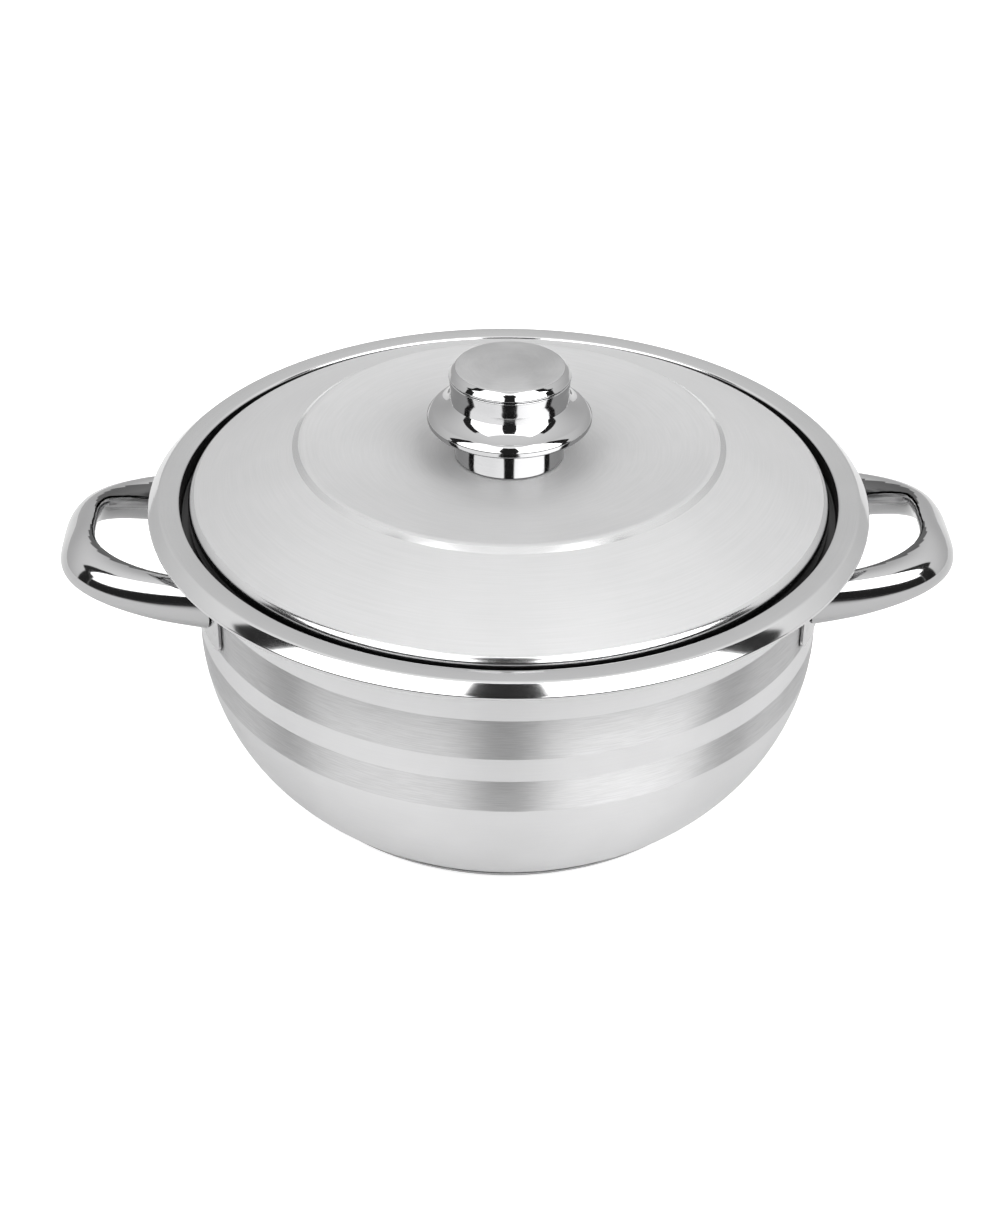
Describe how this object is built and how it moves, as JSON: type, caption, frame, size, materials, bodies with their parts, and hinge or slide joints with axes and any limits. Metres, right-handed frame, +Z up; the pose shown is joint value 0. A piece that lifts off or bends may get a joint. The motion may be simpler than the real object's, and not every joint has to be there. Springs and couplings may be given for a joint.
{
  "type": "stainless steel cooking pot",
  "caption": "Covered casserole pot for a hob: a round-bellied steel vessel with a rolled rim, seamed tubular loop handles and a lift-off domed lid with a waisted knob.",
  "frame": {"origin": "centre of the flat face that the pot stands on", "axes": "+Z up along the pot's axis, +X towards one handle, -Y towards the front"},
  "size_m": [0.3558, 0.2844, 0.1801],
  "materials": {
    "satin_steel": "fine satin stainless steel, with matte and brushed bands round the wall and a bright rim",
    "polished_steel": "mirror-polished stainless steel",
    "zinc_plated_steel": "dull bright zinc plating",
    "base_aluminium": "bare aluminium, shut in under the steel cap"
  },
  "bodies": {
    "pot": {"pot_body": "satin_steel", "base_cap": "satin_steel", "base_core": "base_aluminium", "handle_left": "polished_steel", "handle_right": "polished_steel", "handle_plate_left_front": "polished_steel", "handle_plate_left_rear": "polished_steel", "handle_plate_right_front": "polished_steel", "handle_plate_right_rear": "polished_steel"},
    "lid": {"lid_shell": "satin_steel", "knob_cap": "polished_steel", "knob_skirt": "polished_steel", "knob_collar": "polished_steel", "knob_boss": "zinc_plated_steel", "knob_screw": "zinc_plated_steel", "spring_washer": "zinc_plated_steel", "flat_washer": "zinc_plated_steel"}
  },
  "joints": [
    {"name": "lid_lift", "type": "slide", "parent": "pot", "child": "lid", "axis": [0, 0, 1], "range_m": [0, 0.12]}
  ]
}
